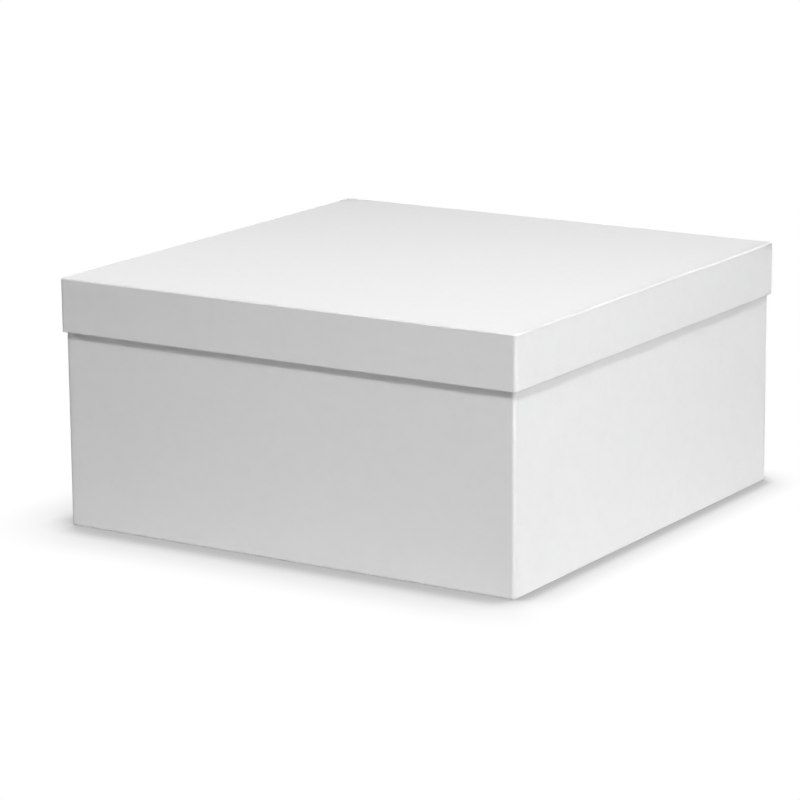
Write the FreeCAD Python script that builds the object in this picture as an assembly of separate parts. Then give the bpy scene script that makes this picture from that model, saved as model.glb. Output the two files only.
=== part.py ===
"""A square rigid gift box with a lift-off lid.

Each half is a set-up tray: one greyboard blank folded up on its score lines, four paper stays
that hold its corners, a white covering paper drawn over the edges and turned in, and linings.

Frame: millimetres, +Z up, origin at the centre of the underside, on the surface the box stands on.
The front wall faces -Y and the right wall faces +X.
"""
import FreeCAD
import Part
import math
import os

from FreeCAD import Vector

# Driving sizes of the closed box, over its covering paper
BASE_WIDTH = 350.0
BASE_DEPTH = 350.0
BASE_HEIGHT = 170.0
LID_SKIRT = 37.0
LID_CLEARANCE = 0.45

# Greyboard of the two trays
BASE_BOARD = 2.0
LID_BOARD = 1.5
FOLD_RADIUS = 1.0
CORNER_RADIUS = 2.0
RIM_RADIUS = 0.45
RIM_SHARE = 0.38
CORNER_KERF = 0.2

# Papers
WRAP = 0.16
LINING = 0.14
BOTTOM_PAPER = 0.16
STAY = 0.18

# How far the papers reach
STAY_LEG = 14.0
STAY_SETBACK = 4.0
BASE_TURN_IN = 24.0
BASE_TURN_UNDER = 18.0
BOTTOM_PAPER_MARGIN = 3.0
WALL_LINING_MARGIN = 5.0
FLOOR_LINING_MARGIN = 0.6
LID_LINING_MARGIN = 0.5
DRAPE_STEP = 0.6

# How closely two lengths agree, and how far a cutting block runs past what it cuts
SAME_LENGTH = 1e-6
CUT_PAST = 1.0

# Sizes that follow from those above
BASE_X = BASE_WIDTH - 2 * WRAP
BASE_Y = BASE_DEPTH - 2 * WRAP
BASE_Z = BOTTOM_PAPER + WRAP
BASE_WALL = BASE_HEIGHT - WRAP - BASE_Z
LID_X = BASE_WIDTH + 2 * (LID_CLEARANCE + WRAP + LID_BOARD)
LID_Y = BASE_DEPTH + 2 * (LID_CLEARANCE + WRAP + LID_BOARD)
LID_Z = BASE_HEIGHT + LINING + LID_BOARD
LID_WALL = LID_SKIRT - 2 * WRAP

CORNERS = {
    "front_left": (-1, -1),
    "front_right": (1, -1),
    "back_right": (1, 1),
    "back_left": (-1, 1),
}


def block(x, y, z_low, z_high):
    """A plain block centred on the Z axis."""
    return Part.makeBox(x, y, z_high - z_low, Vector(-x / 2, -y / 2, z_low))


def frame_block(x, y, wall, z_low, z_high):
    """A rectangular frame of that outside size whose bars are `wall` wide."""
    hole = block(x - 2 * wall, y - 2 * wall, z_low, z_high)
    return block(x, y, z_low, z_high).cut(hole)


def edges_at_height(shape, z):
    """The edges that lie wholly in the level plane at height z."""
    return [e for e in shape.Edges if all(abs(v.Z - z) < SAME_LENGTH for v in e.Vertexes)]


def upright_edges(shape):
    """The straight edges that run along Z."""
    return [e for e in shape.Edges if abs(e.BoundBox.ZLength - e.Length) < SAME_LENGTH]


def folded_block(x, y, height, grow):
    """The outside of a folded tray that stands on z = 0, grown by `grow` on every face."""
    body = block(x + 2 * grow, y + 2 * grow, -grow, height + grow)
    rounded = body.makeFillet(CORNER_RADIUS + grow, upright_edges(body))
    return rounded.makeFillet(FOLD_RADIUS + grow, edges_at_height(rounded, -grow))


def tray(x, y, height, board, grow=0.0):
    """An open tray of that board, closed end down on z = 0, grown by `grow` on every face.

    Its rim is rounded by RIM_RADIUS, or by RIM_SHARE of the wall across a corner where that is less.
    """
    hollow = block(x - 2 * (board + grow), y - 2 * (board + grow), board + grow, height + board)
    body = folded_block(x, y, height, grow).cut(hollow)
    across_corner = math.sqrt(2) * board - (math.sqrt(2) - 1) * CORNER_RADIUS
    rim = min(RIM_RADIUS, RIM_SHARE * across_corner)
    return body.makeFillet(rim + grow, edges_at_height(body, height + grow))


def corner_stays(x, y, height):
    """Four paper angles, pressed flush into the outside of a tray's upright corners."""
    skin = folded_block(x, y, height, 0.0).cut(folded_block(x, y, height, -STAY))
    low, high = STAY_SETBACK, height - STAY_SETBACK
    stays = {}
    for name, (side_x, side_y) in CORNERS.items():
        reach = Part.makeBox(STAY_LEG, STAY_LEG, high - low)
        reach.translate(Vector(-STAY_LEG / 2, -STAY_LEG / 2, low))
        reach.translate(Vector(side_x * (x - STAY_LEG) / 2, side_y * (y - STAY_LEG) / 2, 0))
        stays[name] = skin.common(reach)
    return stays


def corner_kerfs(x, y, height, board):
    """The open joints where the ends of the side walls butt against the front and back walls."""
    kerfs = []
    for side_x, side_y in CORNERS.values():
        kerf = block(board, CORNER_KERF, board, height)
        kerf.translate(Vector(side_x * (x - board) / 2, side_y * (y / 2 - board - CORNER_KERF / 2), 0))
        kerfs.append(kerf)
    return kerfs


def folded_board(x, y, height, board, stays):
    """One scored blank, folded up into a tray, with a flush seat for each corner stay."""
    return tray(x, y, height, board).cut(corner_kerfs(x, y, height, board) + list(stays.values()))


def covering(x, y, height, board):
    """Paper over every face of a tray, before its edges are trimmed."""
    return tray(x, y, height, board, WRAP).cut(tray(x, y, height, board))


def diagonal_halves(shape, x, y):
    """Splits a shape at the front-left and back-right corners: front and right walls, then the rest."""
    near, far = shape.BoundBox.ZMin - CUT_PAST, shape.BoundBox.ZMax + CUT_PAST
    ends = [Vector(-x, -y, near), Vector(x, y, near)]
    halves = []
    for side in (1, -1):
        outline = Part.makePolygon(ends + [Vector(side * x, -side * y, near), ends[0]])
        halves.append(shape.common(Part.Face(outline).extrude(Vector(0, 0, far - near))))
    return halves


def raise_base(shape):
    """Moves a piece of the base tray from its own floor to its height in the box."""
    return shape.translated(Vector(0, 0, BASE_Z))


def turn_over_lid(shape):
    """Turns a tray's piece upside down and sets it at the lid's height."""
    turned = shape.rotated(Vector(0, 0, 0), Vector(1, 0, 0), 180)
    return turned.translated(Vector(0, 0, LID_Z))


def base_wall_wraps():
    """Two strips that each cover two walls, turned in over the rim and under the floor."""
    paper = covering(BASE_X, BASE_Y, BASE_WALL, BASE_BOARD)
    inside_x = BASE_X - 2 * BASE_BOARD
    inside_y = BASE_Y - 2 * BASE_BOARD
    turn_in_end = BASE_WALL - BASE_TURN_IN
    under_x = BASE_X - 2 * BASE_TURN_UNDER
    under_y = BASE_Y - 2 * BASE_TURN_UNDER
    trims = [
        block(inside_x, inside_y, BASE_BOARD, turn_in_end),
        block(under_x, under_y, -WRAP, 0.0),
    ]
    return diagonal_halves(paper.cut(trims), BASE_X, BASE_Y)


def base_bottom_paper():
    """The sheet under the floor: it lies over the turned-under strips and dips to the board inside them."""
    x = BASE_X - 2 * BOTTOM_PAPER_MARGIN
    y = BASE_Y - 2 * BOTTOM_PAPER_MARGIN
    dip_x = BASE_X - 2 * BASE_TURN_UNDER
    dip_y = BASE_Y - 2 * BASE_TURN_UNDER
    under_strips = block(x, y, -WRAP - BOTTOM_PAPER, -WRAP)
    dip = block(dip_x, dip_y, -WRAP - BOTTOM_PAPER, 0.0)
    hollow = block(dip_x - 2 * DRAPE_STEP, dip_y - 2 * DRAPE_STEP, -WRAP - BOTTOM_PAPER, -BOTTOM_PAPER)
    return under_strips.fuse(dip).cut(hollow).removeSplitter()


def base_wall_linings():
    """Two strips on the inside walls: on the board low down, and over the turned-in paper above."""
    x = BASE_X - 2 * BASE_BOARD
    y = BASE_Y - 2 * BASE_BOARD
    floor = BASE_BOARD
    turn_in_end = BASE_WALL - BASE_TURN_IN
    top = BASE_WALL - WALL_LINING_MARGIN
    on_board = frame_block(x, y, LINING, floor, turn_in_end)
    step = frame_block(x, y, WRAP + LINING, turn_in_end - DRAPE_STEP, turn_in_end)
    over_paper = frame_block(x - 2 * WRAP, y - 2 * WRAP, LINING, turn_in_end, top)
    return diagonal_halves(on_board.fuse([step, over_paper]).removeSplitter(), BASE_X, BASE_Y)


def base_floor_lining():
    """The sheet on the inside of the floor."""
    margin = BASE_BOARD + LINING + FLOOR_LINING_MARGIN
    return block(BASE_X - 2 * margin, BASE_Y - 2 * margin, BASE_BOARD, BASE_BOARD + LINING)


def lid_wrap():
    """One sheet over the top and the four skirts, turned in to the full depth of the skirts."""
    paper = covering(LID_X, LID_Y, LID_WALL, LID_BOARD)
    margin = LID_BOARD + WRAP
    bare_top = block(LID_X - 2 * margin, LID_Y - 2 * margin, LID_BOARD, LID_BOARD + WRAP)
    return paper.cut(bare_top)


def lid_lining():
    """The sheet on the inside of the top, which the rim of the base meets."""
    margin = LID_BOARD + WRAP + LID_LINING_MARGIN
    return block(LID_X - 2 * margin, LID_Y - 2 * margin, LID_BOARD, LID_BOARD + LINING)


def base_pieces():
    """Every piece of the base, by name, in the box's frame."""
    stays = corner_stays(BASE_X, BASE_Y, BASE_WALL)
    wrap_front_right, wrap_back_left = base_wall_wraps()
    lining_front_right, lining_back_left = base_wall_linings()
    pieces = {
        "base_board": folded_board(BASE_X, BASE_Y, BASE_WALL, BASE_BOARD, stays),
        "base_wall_wrap_front_right": wrap_front_right,
        "base_wall_wrap_back_left": wrap_back_left,
        "base_bottom_paper": base_bottom_paper(),
        "base_wall_lining_front_right": lining_front_right,
        "base_wall_lining_back_left": lining_back_left,
        "base_floor_lining": base_floor_lining(),
    }
    for corner, stay in stays.items():
        pieces["base_corner_stay_" + corner] = stay
    return {name: raise_base(shape) for name, shape in pieces.items()}


def lid_pieces():
    """Every piece of the lid, by name, in the box's frame."""
    stays = corner_stays(LID_X, LID_Y, LID_WALL)
    pieces = {
        "lid_board": folded_board(LID_X, LID_Y, LID_WALL, LID_BOARD, stays),
        "lid_wrap": lid_wrap(),
        "lid_lining": lid_lining(),
    }
    for corner, (side_x, side_y) in CORNERS.items():
        turned = next(name for name, sides in CORNERS.items() if sides == (side_x, -side_y))
        pieces["lid_corner_stay_" + turned] = stays[corner]
    return {name: turn_over_lid(shape) for name, shape in pieces.items()}


def main():
    os.makedirs("parts", exist_ok=True)
    for name, shape in {**base_pieces(), **lid_pieces()}.items():
        shape.exportStep(os.path.join("parts", name + ".step"))
        box = shape.optimalBoundingBox()
        size = f"{box.XLength:.2f} x {box.YLength:.2f} x {box.ZLength:.2f}"
        print(f"{name}: {len(shape.Solids)} solid, valid {shape.isValid()}, {shape.Volume:.1f} mm3, "
              f"{size}, z {box.ZMin:.2f} to {box.ZMax:.2f}")


main()
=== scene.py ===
import math

import bmesh
import bpy
from mathutils import Matrix, Vector


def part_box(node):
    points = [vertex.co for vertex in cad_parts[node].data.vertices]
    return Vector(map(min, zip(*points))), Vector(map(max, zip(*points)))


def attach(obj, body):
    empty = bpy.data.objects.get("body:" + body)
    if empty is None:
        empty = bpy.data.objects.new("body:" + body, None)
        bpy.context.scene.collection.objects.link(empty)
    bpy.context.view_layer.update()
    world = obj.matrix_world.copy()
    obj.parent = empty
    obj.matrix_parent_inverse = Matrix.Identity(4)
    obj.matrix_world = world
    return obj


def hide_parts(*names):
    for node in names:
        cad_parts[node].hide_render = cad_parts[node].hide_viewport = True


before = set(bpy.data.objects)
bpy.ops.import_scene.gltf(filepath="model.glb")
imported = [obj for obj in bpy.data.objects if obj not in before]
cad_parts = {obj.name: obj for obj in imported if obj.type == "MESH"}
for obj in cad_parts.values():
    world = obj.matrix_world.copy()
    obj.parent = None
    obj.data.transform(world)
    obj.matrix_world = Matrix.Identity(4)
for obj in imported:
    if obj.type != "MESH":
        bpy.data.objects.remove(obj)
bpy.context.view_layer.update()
bpy.context.scene.view_settings.view_transform = "Standard"

# Greyboard trays of the base and the lid
# Each is one die-cut blank of grey recycled board, 2 mm thick in the base and 1.5 mm in the lid.
# It is scored and folded up at its four walls, and paper then covers it on every side.
MM = 0.001
GREYBOARD_PALE = (0.41, 0.39, 0.35, 1.0)
GREYBOARD_DARK = (0.25, 0.235, 0.21, 1.0)
GREYBOARD_FLECK = (0.10, 0.095, 0.09, 1.0)
GREYBOARD_ROUGHNESS = 0.9
GREYBOARD_SPECULAR = 0.2
PULP_GRAIN = (160.0, 5.0)
FLECK_GRAIN = (620.0, 3.0)
FLECK_SHARE = (0.66, 0.74)
FLECK_SMOOTHER = 0.1
BOARD_TOOTH = 0.08 * MM


class Finish:
    """A socket in a material's node tree. Sums written with it become Math nodes."""

    def __init__(self, tree, socket=None):
        self.tree = tree
        self.socket = socket

    def node(self, kind, settings=None, inputs=None, output=0):
        """Adds a node, sets it up, feeds its sockets, and gives back one of its outputs."""
        made = self.tree.nodes.new(kind)
        for name, setting in (settings or {}).items():
            setattr(made, name, setting)
        for name, fed in (inputs or {}).items():
            if isinstance(fed, Finish):
                self.tree.links.new(fed.socket, made.inputs[name])
            else:
                made.inputs[name].default_value = fed
        return Finish(self.tree, made.outputs[output] if made.outputs else None)

    def math(self, operation, first, second=0.0):
        return self.node("ShaderNodeMath", {"operation": operation}, {0: first, 1: second})

    def __add__(self, other):
        return self.math("ADD", self, other)

    __radd__ = __add__

    def __sub__(self, other):
        return self.math("SUBTRACT", self, other)

    def __rsub__(self, other):
        return self.math("SUBTRACT", other, self)

    def __mul__(self, other):
        return self.math("MULTIPLY", self, other)

    __rmul__ = __mul__

    def __abs__(self):
        return self.math("ABSOLUTE", self)

    def lesser(self, other):
        return self.math("MINIMUM", self, other)

    def greater(self, other):
        return self.math("MAXIMUM", self, other)

    def rise(self, low, high):
        """0 up to `low`, 1 from `high` on, and a smooth step between."""
        ends = {"Value": self, "From Min": low, "From Max": high}
        return self.node("ShaderNodeMapRange", {"interpolation_type": "SMOOTHSTEP"}, ends)

    def grain(self, per_metre, detail):
        """Soft noise from 0 to 1 over this place vector: grains in a metre, and how finely they break up."""
        sizes = {"Vector": self, "Scale": per_metre, "Detail": detail}
        return self.node("ShaderNodeTexNoise", None, sizes, "Fac")

    def along(self, axis):
        """This place vector's reach along X, Y or Z."""
        return self.node("ShaderNodeSeparateXYZ", None, {0: self}, axis)

    def stretched(self, x, y, z):
        """This place vector, drawn out unevenly so that a grain has a direction."""
        sizes = {0: self, 1: (x, y, z)}
        return self.node("ShaderNodeVectorMath", {"operation": "MULTIPLY"}, sizes)

    def blend(self, first, second):
        """One colour at 0 and another at 1."""
        return self.node("ShaderNodeMix", {"data_type": "RGBA"}, {0: self, 6: first, 7: second}, 2)

    def relief(self, depth):
        """A surface normal that follows this height, `depth` metres from its lowest to its highest."""
        return self.node("ShaderNodeBump", None, {"Height": self, "Distance": depth}, "Normal")


def blank_finish(name):
    """A new material without nodes, its tree to work in, and places on the piece in metres."""
    material = bpy.data.materials.new(name)
    material.use_nodes = True
    material.node_tree.nodes.clear()
    finish = Finish(material.node_tree)
    return material, finish, finish.node("ShaderNodeTexCoord", output="Object")


def close_finish(finish, colour, roughness, normal, specular):
    """Sends colour, roughness and normal to the surface."""
    sockets = {"Base Color": colour, "Roughness": roughness, "Normal": normal, "Specular IOR Level": specular}
    surface = finish.node("ShaderNodeBsdfPrincipled", None, sockets)
    finish.node("ShaderNodeOutputMaterial", None, {"Surface": surface})


def greyboard_finish():
    material, finish, place = blank_finish("greyboard")
    pulp = place.grain(*PULP_GRAIN)
    fleck = place.grain(*FLECK_GRAIN).rise(*FLECK_SHARE)
    colour = fleck.blend(pulp.blend(GREYBOARD_DARK, GREYBOARD_PALE), GREYBOARD_FLECK)
    roughness = GREYBOARD_ROUGHNESS - FLECK_SMOOTHER * fleck
    close_finish(finish, colour, roughness, pulp.relief(BOARD_TOOTH), GREYBOARD_SPECULAR)
    return material


def dress(nodes, material):
    """Gives CAD nodes that keep their own shape a finish."""
    for node in nodes:
        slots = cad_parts[node].data.materials
        slots.clear()
        slots.append(material)


dress(["base_board", "lid_board"], greyboard_finish())

# Corner stays
# Each is a short angle of brown gummed paper over an upright corner of a tray.
# It is pressed flush into the board and holds the two walls together before the tray is covered.
KRAFT_PALE = (0.47, 0.33, 0.20, 1.0)
KRAFT_DARK = (0.36, 0.24, 0.135, 1.0)
KRAFT_GRAIN = (900.0, 4.0)
KRAFT_DRAWN_OUT = (1.0, 1.0, 0.12)
KRAFT_ROUGHNESS = 0.7
KRAFT_ROUGHER = 0.15
KRAFT_SPECULAR = 0.3
KRAFT_TOOTH = 0.03 * MM


def kraft_finish():
    material, finish, place = blank_finish("gummed_kraft_paper")
    fibre = place.stretched(*KRAFT_DRAWN_OUT).grain(*KRAFT_GRAIN)
    colour = fibre.blend(KRAFT_DARK, KRAFT_PALE)
    roughness = KRAFT_ROUGHNESS + KRAFT_ROUGHER * fibre
    close_finish(finish, colour, roughness, fibre.relief(KRAFT_TOOTH), KRAFT_SPECULAR)
    return material


dress([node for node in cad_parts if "corner_stay" in node], kraft_finish())

# Covering paper of the base
# Two strips of matt white paper, glued over two walls each, are drawn over the rim and under the floor.
# At two corners one strip laps the other's end, which shows through as a band raised by less than 0.1 mm.
WRAP = 0.16 * MM
BASE_BOARD = 2.0 * MM
FOLD_RADIUS = 1.0 * MM
CORNER_RADIUS = 2.0 * MM
RIM_RADIUS = 0.45 * MM
INNER_CORNER = 0.25 * MM
BASE_TURN_IN = 24.0 * MM
BASE_TURN_UNDER = 18.0 * MM
LAP_EDGE = 1.2 * MM
LAP_STEP = 0.05 * MM
LAP_REACH = 13.0 * MM
LAP_FADE = 3.0 * MM
LAP_RISE = 0.09 * MM
CREASE = 0.5 * MM
WALL_ROWS = 8
TURN_ROWS = 3
WALL_COLUMNS = 20
ARC_STEPS = 6
SHARP_FROM = math.radians(40.0)
PAPER_WHITE = (0.895, 0.895, 0.893, 1.0)
PAPER_CLOUD = (0.885, 0.885, 0.883, 1.0)
# The rubbed paper's colour; the same colour also paints shade along the folds.
PAPER_RUBBED_AND_SHADED = (0.80, 0.798, 0.79, 1.0)
PAPER_ROUGHNESS = 0.58
PAPER_SPECULAR = 0.3
CLOUD_GRAIN = (140.0, 4.0)
CLOUD_SHARE = (0.35, 0.7)
CLOUD_ROUGHER = 0.12
FELT_GRAIN = (1500.0, 3.0)
WAVE_GRAIN = (26.0, 1.0)
WAVE_HEIGHT = 1.5
FELT_DEPTH = 0.016 * MM
# How far the whole fold band is painted towards the rub colour, as shade that tones down the folds'
# highlight.
FOLD_PAINTED_SHADE = 0.75
RUB_WIDTH = 2.2 * MM
RUB_GRAIN = (700.0, 4.0)
RUB_SHARE = (0.42, 0.8)
RUB_DULLED = 0.25
RUB_ROUGHER = 0.1
RUB_HOLLOW = 0.8

WALLS = (
    ("front", (-1, -1), (1, -1), (0, -1)),
    ("right", (1, -1), (1, 1), (1, 0)),
    ("back", (1, 1), (-1, 1), (0, 1)),
    ("left", (-1, 1), (-1, -1), (-1, 0)),
)


def wall_distances(length):
    """Where the columns of a wall stand: close at its two ends, for the lap, and even between."""
    near_end = [0.0, CREASE, LAP_EDGE, LAP_EDGE + LAP_STEP, LAP_REACH, LAP_REACH + LAP_FADE]
    middle = length - 2 * near_end[-1]
    even = [near_end[-1] + middle * i / WALL_COLUMNS for i in range(1, WALL_COLUMNS)]
    return near_end + even + [length - distance for distance in reversed(near_end)]


def loop_columns(half):
    """The columns round a square tray, from the front-left corner by the front wall.

    Each is (corner point as shares of the half width, outward direction, wall, distance to its
    start, distance to its end). Columns on a corner's arc have no wall.
    """
    length = 2 * (half - CORNER_RADIUS)
    columns = []
    for wall, start, end, outward in WALLS:
        for distance in wall_distances(length):
            share = distance / length
            point = [a + (b - a) * share for a, b in zip(start, end)]
            columns.append((point, outward, wall, distance, length - distance))
        turn_from = math.atan2(outward[1], outward[0])
        for step in range(1, ARC_STEPS):
            turn = turn_from + math.pi / 2 * step / ARC_STEPS
            columns.append((end, (math.cos(turn), math.sin(turn)), None, 0.0, 0.0))
    return columns


def run(start, end, rows):
    """Profile points in a straight line, with a row close to each end so that flat faces stay flat."""
    length = math.dist(start, end)
    close = min(CREASE / length, 1 / (rows + 1))
    shares = [0.0, close] + [i / rows for i in range(1, rows)] + [1 - close, 1.0]
    return [tuple(a + (b - a) * share for a, b in zip(start, end)) for share in shares]


def bend(centre, radius, start, end):
    """Profile points inside an arc; 0 degrees points into the tray and 90 degrees up."""
    turns = [math.radians(start + (end - start) * i / ARC_STEPS) for i in range(1, ARC_STEPS)]
    return [(centre[0] + radius * math.cos(t), centre[1] + radius * math.sin(t)) for t in turns]


def skin_profile(board, floor, rim, turn_in, turn_under, grow):
    """A tray's skin in section, `grow` off the board: up inside, over the rim, down, and underneath.

    A point is (distance in from the board's outer face, height).
    """
    inside, outside = board + grow, -grow
    shoulder, heel = rim - RIM_RADIUS, floor + FOLD_RADIUS
    points = run((inside, rim - turn_in), (inside, shoulder), TURN_ROWS)
    points += bend((board - RIM_RADIUS, shoulder), RIM_RADIUS + grow, 0, 90)
    points += run((board - RIM_RADIUS, rim + grow), (RIM_RADIUS, rim + grow), 1)
    points += bend((RIM_RADIUS, shoulder), RIM_RADIUS + grow, 90, 180)
    points += run((outside, shoulder), (outside, heel), WALL_ROWS)
    points += bend((FOLD_RADIUS, heel), FOLD_RADIUS + grow, 180, 270)
    return points + run((FOLD_RADIUS, floor - grow), (turn_under, floor - grow), TURN_ROWS)


def paper_sheet(name, half, columns, face, back, closed, lift=None):
    """A sheet with real thickness: its shown face, its glued back, and its cut edges.

    `face` and `back` are profiles with the same number of points. `lift` gives how far a column of
    the face stands off at a height. A closed sheet runs right round and meets in the middle.
    """
    sheet = bmesh.new()
    layers = []
    for profile in (face, back):
        rows = []
        for inset, height in profile:
            radius = max(CORNER_RADIUS - inset, INNER_CORNER)
            core = half - inset - radius
            row = []
            for (corner_x, corner_y), (out_x, out_y), wall, start, end in columns:
                off = radius
                if lift and profile is face:
                    off += lift(wall, start, end, inset, height)
                place = (corner_x * core + out_x * off, corner_y * core + out_y * off, height)
                row.append(sheet.verts.new(place))
            rows.append(row)
        layers.append(rows)
    shown, glued = layers
    count = len(columns)
    for rows in layers:
        for low, high in zip(rows, rows[1:]):
            for i in range(count if closed else count - 1):
                j = (i + 1) % count
                sheet.faces.new((low[i], low[j], high[j], high[i]))
    for i in range(count if closed else count - 1):
        j = (i + 1) % count
        sheet.faces.new((shown[0][i], shown[0][j], glued[0][j], glued[0][i]))
        if not closed:
            sheet.faces.new((shown[-1][i], shown[-1][j], glued[-1][j], glued[-1][i]))
    if closed:
        sheet.faces.new(shown[-1])
        sheet.faces.new(glued[-1])
    else:
        for i in (0, -1):
            for k in range(len(shown) - 1):
                sheet.faces.new((shown[k][i], shown[k + 1][i], glued[k + 1][i], glued[k][i]))
    bmesh.ops.recalc_face_normals(sheet, faces=sheet.faces)
    mesh = bpy.data.meshes.new(name)
    sheet.to_mesh(mesh)
    sheet.free()
    mesh.shade_smooth()
    mesh.set_sharp_from_angle(angle=SHARP_FROM)
    piece = bpy.data.objects.new(name, mesh)
    bpy.context.scene.collection.objects.link(piece)
    return piece


def fit_piece(piece, body, nodes, material):
    """Puts a piece on its body, in the place of its CAD nodes, with its finish."""
    piece.data.materials.append(material)
    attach(piece, body)
    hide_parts(*nodes)


def lap_height(distance):
    """How far a lapping end stands off, by the distance from its corner: a cut edge, then a slow fall."""
    if distance < LAP_EDGE:
        return 0.0
    return LAP_RISE * min(1.0, max(0.0, (LAP_REACH + LAP_FADE - distance) / LAP_FADE))


def base_lap(wall, start, end, inset, height):
    """The second strip's two ends, which lie over the first strip on the outside of the walls."""
    if wall not in ("front", "right") or inset > 0:
        return 0.0
    upright = min(1.0, max(0.0, (height - base_floor) / LAP_FADE), max(0.0, (base_rim - height) / LAP_FADE))
    return upright * lap_height(start if wall == "front" else end)


def covering_finish(name, half, fold_height):
    """Matt white paper, faintly clouded, with a fine felt, a slight rub along the folds, and shade painted
    all along the folds and upright corners.
    """
    material, finish, place = blank_finish(name)
    in_from_x = half - abs(place.along("X"))
    in_from_y = half - abs(place.along("Y"))
    to_corner = in_from_x.greater(in_from_y)
    to_fold = in_from_x.lesser(in_from_y).greater(abs(place.along("Z") - fold_height))
    edge = 1 - to_corner.lesser(to_fold).rise(0.0, RUB_WIDTH)
    rubbed = edge * place.grain(*RUB_GRAIN).rise(*RUB_SHARE)
    cloud = place.grain(*CLOUD_GRAIN)
    stock = cloud.rise(*CLOUD_SHARE).blend(PAPER_WHITE, PAPER_CLOUD)
    # Painted shade along the whole fold band, plus the real rubbed patches.
    colour = (FOLD_PAINTED_SHADE * edge + RUB_DULLED * rubbed).blend(stock, PAPER_RUBBED_AND_SHADED)
    roughness = PAPER_ROUGHNESS + CLOUD_ROUGHER * cloud + RUB_ROUGHER * rubbed
    surface = place.grain(*FELT_GRAIN) + WAVE_HEIGHT * place.grain(*WAVE_GRAIN) - RUB_HOLLOW * rubbed
    close_finish(finish, colour, roughness, surface.relief(FELT_DEPTH), PAPER_SPECULAR)
    return material


board_low, board_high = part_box("base_board")
base_half, base_floor, base_rim = board_high.x, board_low.z, board_high.z
base_loop = loop_columns(base_half)
first_seam = next(i for i, column in enumerate(base_loop) if column[2] == "front" and column[3] >= LAP_EDGE)
second_seam = max(i for i, column in enumerate(base_loop) if column[2] == "right" and column[4] >= LAP_EDGE)
strips = {
    "front_right": base_loop[first_seam:second_seam + 1],
    "back_left": base_loop[second_seam:] + base_loop[:first_seam + 1],
}
base_paper = covering_finish("base_covering_paper", base_half + WRAP, base_rim)
for strip, columns in strips.items():
    tray = (BASE_BOARD, base_floor, base_rim, BASE_TURN_IN, BASE_TURN_UNDER)
    shown_face, glued_back = skin_profile(*tray, WRAP), skin_profile(*tray, 0.0)
    lap = base_lap if strip == "front_right" else None
    piece = paper_sheet("wall_wrap_sheet_" + strip, base_half, columns, shown_face, glued_back, False, lap)
    fit_piece(piece, "base", ["base_wall_wrap_" + strip], base_paper)

# Bottom paper
# One square of plain white paper is pasted under the floor, over the turned-under ends of the strips.
# It settles to the board inside them, and it is what the box stands on.
BOTTOM_WHITE = (0.84, 0.84, 0.832, 1.0)
BOTTOM_SCUFFED = (0.70, 0.695, 0.68, 1.0)
SCUFF_GRAIN = (70.0, 5.0)
SCUFF_DRAWN_OUT = (1.0, 0.25, 1.0)
SCUFF_SHARE = (0.55, 0.8)
SCUFF_DULLED = 0.45
SCUFF_SMOOTHER = 0.1
BOTTOM_ROUGHNESS = 0.66


def bottom_finish():
    material, finish, place = blank_finish("bottom_paper")
    scuff = place.stretched(*SCUFF_DRAWN_OUT).grain(*SCUFF_GRAIN).rise(*SCUFF_SHARE)
    colour = (SCUFF_DULLED * scuff).blend(BOTTOM_WHITE, BOTTOM_SCUFFED)
    roughness = BOTTOM_ROUGHNESS - SCUFF_SMOOTHER * scuff
    close_finish(finish, colour, roughness, place.grain(*FELT_GRAIN).relief(FELT_DEPTH), PAPER_SPECULAR)
    return material


dress(["base_bottom_paper"], bottom_finish())

# Wall linings of the base
# Two strips of uncoated white paper are pasted round the inside of the walls, under the rim.
# They lie on the board low down and ride up over the end of the turned-in covering paper.
LINING = 0.14 * MM
LINING_BELOW_RIM = 5.0 * MM
LINING_RAMP = 2.5 * MM
LINING_WHITE = (0.865, 0.862, 0.85, 1.0)
LINING_CLOUD = (0.83, 0.825, 0.81, 1.0)
LINING_ROUGHNESS = 0.78
LINING_ROUGHER = 0.1
LINING_SPECULAR = 0.2
LINING_CLOUD_SHARE = (0.3, 0.75)
LINING_CLOUD_WEIGHT = 0.7
LINING_FIBRE_WEIGHT = 0.3
LINING_GRAIN = (420.0, 4.0)
LINING_DRAWN_OUT = (1.0, 1.0, 0.3)
LINING_DEPTH = 0.022 * MM


def lining_finish():
    material, finish, place = blank_finish("lining_paper")
    cloud = place.grain(*CLOUD_GRAIN).rise(*LINING_CLOUD_SHARE)
    fibre = place.stretched(*LINING_DRAWN_OUT).grain(*LINING_GRAIN)
    shade = LINING_CLOUD_WEIGHT * cloud + LINING_FIBRE_WEIGHT * fibre
    colour = shade.blend(LINING_WHITE, LINING_CLOUD)
    normal = (fibre + place.grain(*FELT_GRAIN)).relief(LINING_DEPTH)
    close_finish(finish, colour, LINING_ROUGHNESS + LINING_ROUGHER * fibre, normal, LINING_SPECULAR)
    return material


def lining_profile(off):
    """The lining in section, `off` from what it is pasted to: down over the turn-in, then on the board."""
    top, step, foot = base_rim - LINING_BELOW_RIM, base_rim - BASE_TURN_IN, base_floor + BASE_BOARD
    over_turn_in = BASE_BOARD + WRAP + off
    on_board = BASE_BOARD + off
    points = run((over_turn_in, top), (over_turn_in, step), TURN_ROWS)
    return points + run((on_board, step - LINING_RAMP), (on_board, foot), WALL_ROWS)


lining_paper = lining_finish()
for strip, columns in strips.items():
    shown_face, glued_back = lining_profile(LINING), lining_profile(0.0)
    piece = paper_sheet("wall_lining_sheet_" + strip, base_half, columns, shown_face, glued_back, False)
    fit_piece(piece, "base", ["base_wall_lining_" + strip], lining_paper)

# Floor lining
# One sheet of the same uncoated paper is pasted on the inside of the floor, just short of the walls.
# It is the bottom of the space that the gift goes into.
dress(["base_floor_lining"], lining_paper)

# Covering paper of the lid
# One sheet of the same matt white paper covers the top and the four skirts, and is turned in to their depth.
# Near the corners the side flaps lap the ends of the front and back ones.
LID_BOARD = 1.5 * MM
TOP_RINGS = 9


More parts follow.
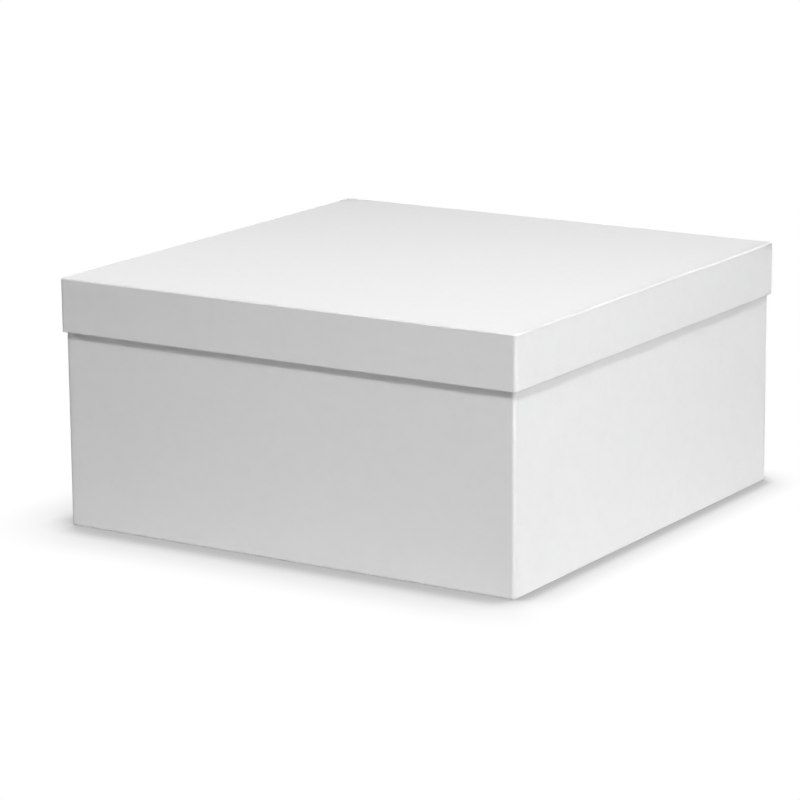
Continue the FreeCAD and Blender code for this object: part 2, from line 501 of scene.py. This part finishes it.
def lid_profile(grow):
    """The lid's skin in section: up inside a skirt, round its rim, over the top edge, and to the middle."""
    depth = lid_top - lid_rim
    inside = [(inset, lid_top - height) for inset, height in
              skin_profile(LID_BOARD, 0.0, depth, depth - LID_BOARD, FOLD_RADIUS + 2 * CREASE, grow)]
    start = inside[-1][0]
    middle = lid_half - 2 * INNER_CORNER
    rings = [start + (middle - start) * i / TOP_RINGS for i in range(1, TOP_RINGS + 1)]
    return inside + [(inset, lid_top + grow) for inset in rings]


def lid_lap(wall, start, end, inset, height):
    """The two ends of each side flap, which lie over the front and back flaps' ends on the skirts."""
    if wall not in ("left", "right") or inset > 0:
        return 0.0
    upright = min(1.0, max(0.0, (lid_top - height) / LAP_FADE), max(0.0, (height - lid_rim) / LAP_FADE))
    return upright * max(lap_height(start), lap_height(end))


board_low, board_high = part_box("lid_board")
lid_half, lid_rim, lid_top = board_high.x, board_low.z, board_high.z
lid_paper = covering_finish("lid_covering_paper", lid_half + WRAP, lid_top)
piece = paper_sheet("lid_wrap_sheet", lid_half, loop_columns(lid_half), lid_profile(WRAP), lid_profile(0.0),
                    True, lid_lap)
fit_piece(piece, "lid", ["lid_wrap"], lid_paper)

# Lid lining
# One sheet of uncoated paper is pasted on the inside of the top, inside the turned-in skirts.
# The rim of the base comes up against it when the box is closed.
dress(["lid_lining"], lining_paper)

# Table, light and camera
# A plain white table runs out to a white ground. Where the box stands close over it, a shadow is painted into
# the white that the eye sees.
# Softboxes stand at the right and low behind, and one with a grid hangs in front. The room is dim.
TABLE_SIZE = 12.0
TABLE_DROP = 0.05 * MM
WHITE = (1.0, 1.0, 1.0, 1.0)
BLACK = (0.0, 0.0, 0.0, 1.0)
TABLE_WHITE = (0.52, 0.52, 0.52, 1.0)
# The painted shadow at the box's foot: how far it reaches, how dark it gets, and how much narrower it is on
# the lit side.
SHADE_REACH = 65.0 * MM
SHADE_DEPTH = 0.66
CONTACT_REACH = 25.0 * MM
CONTACT_DEPTH = 0.20
CONTACT_EDGE = (0.02, 0.25)
SHADE_MOST = 0.52
LIT_SHARE = 0.48
LIT_BLEND = 20.0 * MM
SHADE_RAYS = 8
ROOM_LIGHT = 0.1
SIDE_PLACE = (1.7, -0.55, 0.9)
SIDE_SIZE = 0.9
SIDE_WATTS = 17.2
HANGING_PLACE = (1.58, -2.0, 4.37)
HANGING_AIM = (0.08, -0.12, 0.17)
HANGING_SIZE = 0.9
HANGING_SPREAD = math.radians(22.0)
HANGING_WATTS = 3.4
FILL_PLACE = (-1.7, 1.4, 0.4)
FILL_SIZE = 0.7
FILL_WATTS = 9.0
LIGHT_AIM = (0.0, 0.0, 0.1)
WIDE_OPEN = math.pi
CAMERA_AIM = (-14.72 * MM, -9.36 * MM, 73.07 * MM)
CAMERA_AZIMUTH = math.radians(32.45)
CAMERA_ELEVATION = math.radians(13.35)
CAMERA_ROLL = math.radians(-0.44)
CAMERA_DISTANCE = 2.4209
CAMERA_LENS = 157.5
CAMERA_SENSOR = 36.0


def seen_straight(finish):
    """1 where the eye meets a surface directly, in a mirror or through glass, and 0 for light's own paths."""
    ways = [finish.node("ShaderNodeLightPath", output=ray) for ray in
            ("Is Camera Ray", "Is Glossy Ray", "Is Transmission Ray")]
    return ways[0].greater(ways[1]).greater(ways[2])


def closed_in(finish, reach):
    """How much of the air over a surface is taken up within `reach`: 0 in the open, 0.5 against a wall."""
    rays = {"samples": SHADE_RAYS}
    return 1 - finish.node("ShaderNodeAmbientOcclusion", rays, {"Distance": reach}, "AO")


def painted_foot_shadow(finish, share):
    """The shadow painted on the table at the foot of the box: a soft wide part and a close one, drawn in to a
    share.
    """
    contact = closed_in(finish, share * CONTACT_REACH).rise(*CONTACT_EDGE)
    return SHADE_DEPTH * closed_in(finish, share * SHADE_REACH) + CONTACT_DEPTH * contact


def table_finish():
    material, finish, place = blank_finish("white_table")
    wide = painted_foot_shadow(finish, 1.0)
    narrow = painted_foot_shadow(finish, LIT_SHARE)
    # The painted shadow is drawn in narrower on the right and back, the side that the side softbox lights.
    lit_side = (place.along("X") + place.along("Y")).rise(-LIT_BLEND, LIT_BLEND)
    shade = (wide + lit_side * (narrow - wide)).lesser(SHADE_MOST)
    paint = finish.node("ShaderNodeBsdfDiffuse", None, {"Color": TABLE_WHITE})
    # What the eye sees glows white, with the painted shadow mixed into its colour; light's own paths meet the
    # plain table.
    white = finish.node("ShaderNodeEmission", None, {"Color": shade.blend(WHITE, BLACK), "Strength": 1.0})
    surface = finish.node("ShaderNodeMixShader", None, {0: seen_straight(finish), 1: paint, 2: white})
    finish.node("ShaderNodeOutputMaterial", None, {"Surface": surface})
    return material


def softbox(name, place, size, watts, aim=LIGHT_AIM, spread=WIDE_OPEN):
    """A square lamp turned to a place on the box. A grid in front of it narrows its spread."""
    lamp = bpy.data.lights.new(name, "AREA")
    lamp.size = size
    lamp.energy = watts
    lamp.spread = spread
    stand = bpy.data.objects.new(name, lamp)
    stand.location = place
    stand.rotation_mode = "QUATERNION"
    stand.rotation_quaternion = (Vector(aim) - Vector(place)).to_track_quat("-Z", "Y")
    stand.visible_camera = False
    bpy.context.scene.collection.objects.link(stand)


table_mesh = bpy.data.meshes.new("table")
reach = TABLE_SIZE / 2
table_corners = [(x * reach, y * reach, -TABLE_DROP) for x, y in ((-1, -1), (1, -1), (1, 1), (-1, 1))]
table_mesh.from_pydata(table_corners, [], [(0, 1, 2, 3)])
table_mesh.materials.append(table_finish())
table = bpy.data.objects.new("table", table_mesh)
bpy.context.scene.collection.objects.link(table)

room = bpy.data.worlds.new("white_room")
room.use_nodes = True
room.node_tree.nodes.clear()
air = Finish(room.node_tree)
even_light = air.node("ShaderNodeBackground", None, {"Color": WHITE, "Strength": ROOM_LIGHT})
white_ground = air.node("ShaderNodeBackground", None, {"Color": WHITE, "Strength": 1.0})
sky = air.node("ShaderNodeMixShader", None, {0: seen_straight(air), 1: even_light, 2: white_ground})
air.node("ShaderNodeOutputWorld", None, {"Surface": sky})
bpy.context.scene.world = room

softbox("side_softbox", SIDE_PLACE, SIDE_SIZE, SIDE_WATTS)
softbox("hanging_softbox", HANGING_PLACE, HANGING_SIZE, HANGING_WATTS, HANGING_AIM, HANGING_SPREAD)
softbox("fill_softbox", FILL_PLACE, FILL_SIZE, FILL_WATTS)

flat = math.cos(CAMERA_ELEVATION)
back = Vector((math.sin(CAMERA_AZIMUTH) * flat, -math.cos(CAMERA_AZIMUTH) * flat, math.sin(CAMERA_ELEVATION)))
level = Vector((math.cos(CAMERA_AZIMUTH), math.sin(CAMERA_AZIMUTH), 0.0))
upright = back.cross(level)
right = level * math.cos(CAMERA_ROLL) + upright * math.sin(CAMERA_ROLL)
camera_data = bpy.data.cameras.new("camera")
camera_data.lens = CAMERA_LENS
camera_data.sensor_width = CAMERA_SENSOR
camera = bpy.data.objects.new("camera", camera_data)
turned = Matrix((right, back.cross(right), back)).transposed().to_4x4()
camera.matrix_world = Matrix.Translation(Vector(CAMERA_AIM) + back * CAMERA_DISTANCE) @ turned
bpy.context.scene.collection.objects.link(camera)
bpy.context.scene.camera = camera
